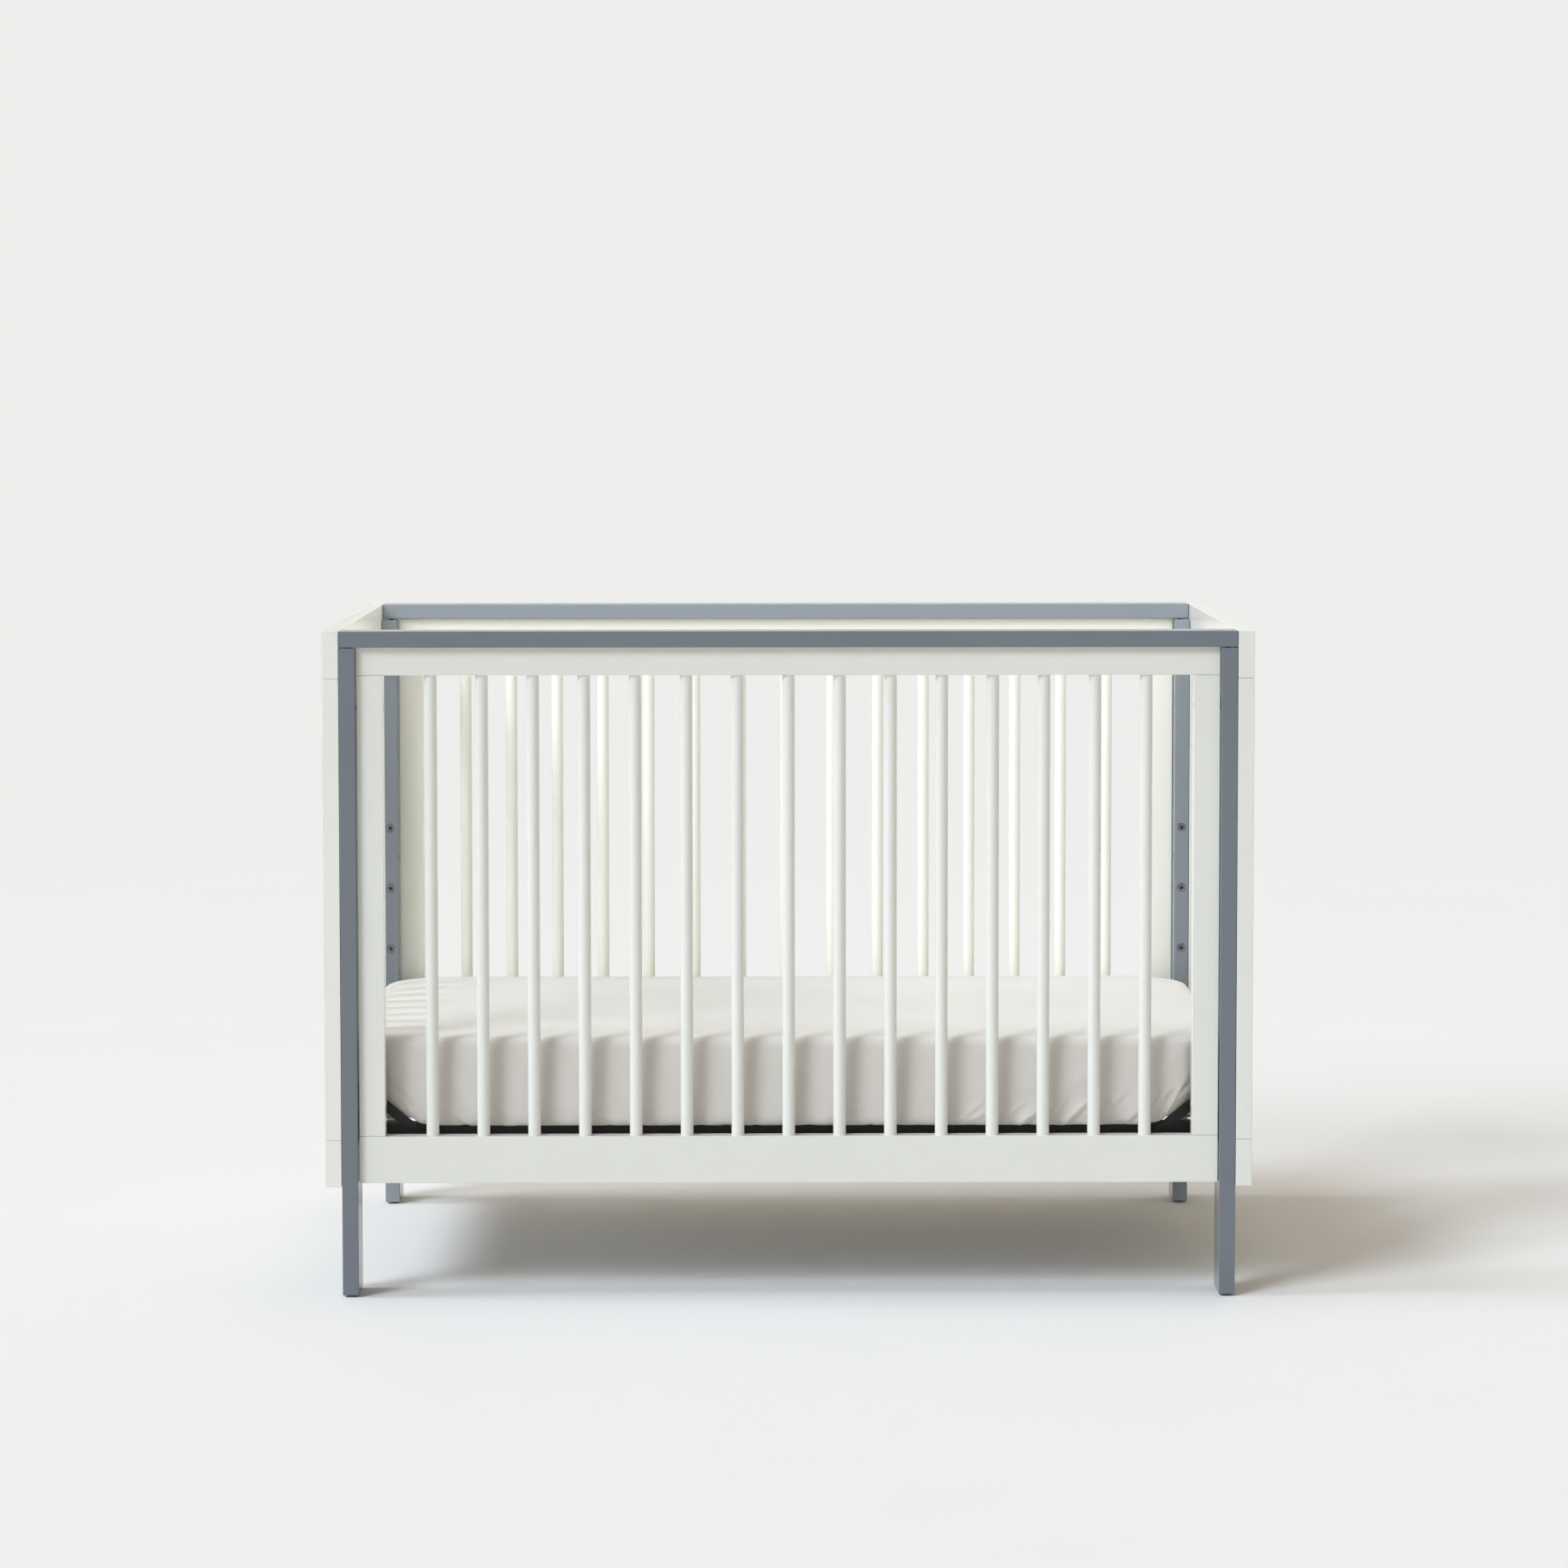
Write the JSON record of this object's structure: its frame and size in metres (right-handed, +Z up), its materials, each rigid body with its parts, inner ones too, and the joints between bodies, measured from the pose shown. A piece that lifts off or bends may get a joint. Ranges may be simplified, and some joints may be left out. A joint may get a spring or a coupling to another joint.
{
  "type": "baby crib",
  "caption": "Baby crib with slatted white sides and end panels, grey legs and cap rails, a height-adjustable steel mattress support, a mattress and a fitted sheet.",
  "frame": {"origin": "on the floor, under the centre of the crib", "axes": "+X along the crib's length to the right seen from the front, +Y from the front to the rear, +Z up"},
  "size_m": [1.378, 0.779, 0.994],
  "materials": {
    "white_painted_wood": "satin white lacquer over solid wood",
    "grey_painted_wood": "satin blue-grey lacquer over solid wood",
    "zinc_insert": "zinc plated, turned",
    "zinc_bolt": "zinc plated, cold formed",
    "beech_dowel": "raw beech",
    "nylon_glide": "moulded nylon",
    "black_enamelled_steel": "black powder coat",
    "spring_wire": "oiled spring steel wire",
    "mattress_ticking": "quilted white ticking over foam",
    "sheet_cotton": "plain woven off-white cotton"
  },
  "bodies": {
    "crib_frame": {"leg_front_left": "grey_painted_wood", "leg_front_right": "grey_painted_wood", "leg_rear_left": "grey_painted_wood", "leg_rear_right": "grey_painted_wood", "cap_rail_front": "grey_painted_wood", "cap_rail_rear": "grey_painted_wood", "front_top_rail": "white_painted_wood", "front_bottom_rail": "white_painted_wood", "front_stile_left": "white_painted_wood", "front_stile_right": "white_painted_wood", "front_spindles": "white_painted_wood", "rear_top_rail": "white_painted_wood", "rear_bottom_rail": "white_painted_wood", "rear_stile_left": "white_painted_wood", "rear_stile_right": "white_painted_wood", "rear_spindles": "white_painted_wood", "left_end_top_rail": "white_painted_wood", "left_end_bottom_rail": "white_painted_wood", "left_end_stile_front": "white_painted_wood", "left_end_stile_rear": "white_painted_wood", "left_end_spindles": "white_painted_wood", "right_end_top_rail": "white_painted_wood", "right_end_bottom_rail": "white_painted_wood", "right_end_stile_front": "white_painted_wood", "right_end_stile_rear": "white_painted_wood", "right_end_spindles": "white_painted_wood", "height_inserts": "zinc_insert", "panel_bolts": "zinc_bolt", "panel_inserts": "zinc_insert", "leg_bolts": "zinc_bolt", "end_inserts": "zinc_insert", "cap_dowels": "beech_dowel", "frame_dowels": "beech_dowel", "foot_glides": "nylon_glide"},
    "mattress_support": {"support_rail_front": "black_enamelled_steel", "support_rail_rear": "black_enamelled_steel", "support_rail_left": "black_enamelled_steel", "support_rail_right": "black_enamelled_steel", "hanger_front_left": "black_enamelled_steel", "hanger_front_right": "black_enamelled_steel", "hanger_rear_left": "black_enamelled_steel", "hanger_rear_right": "black_enamelled_steel", "hanger_rivets": "black_enamelled_steel", "support_bolts": "zinc_bolt", "support_washers": "zinc_bolt", "deck_long_wires": "black_enamelled_steel", "deck_cross_wires": "black_enamelled_steel", "deck_springs": "spring_wire"},
    "mattress": {"mattress_core": "mattress_ticking", "fitted_sheet": "sheet_cotton"}
  },
  "joints": [
    {"name": "support_height", "type": "slide", "parent": "crib_frame", "child": "mattress_support", "axis": [0, 0, 1], "range_m": [0, 0.3]},
    {"name": "mattress_lift", "type": "slide", "parent": "mattress_support", "child": "mattress", "axis": [0, 0, 1], "range_m": [0, 0.28]}
  ]
}
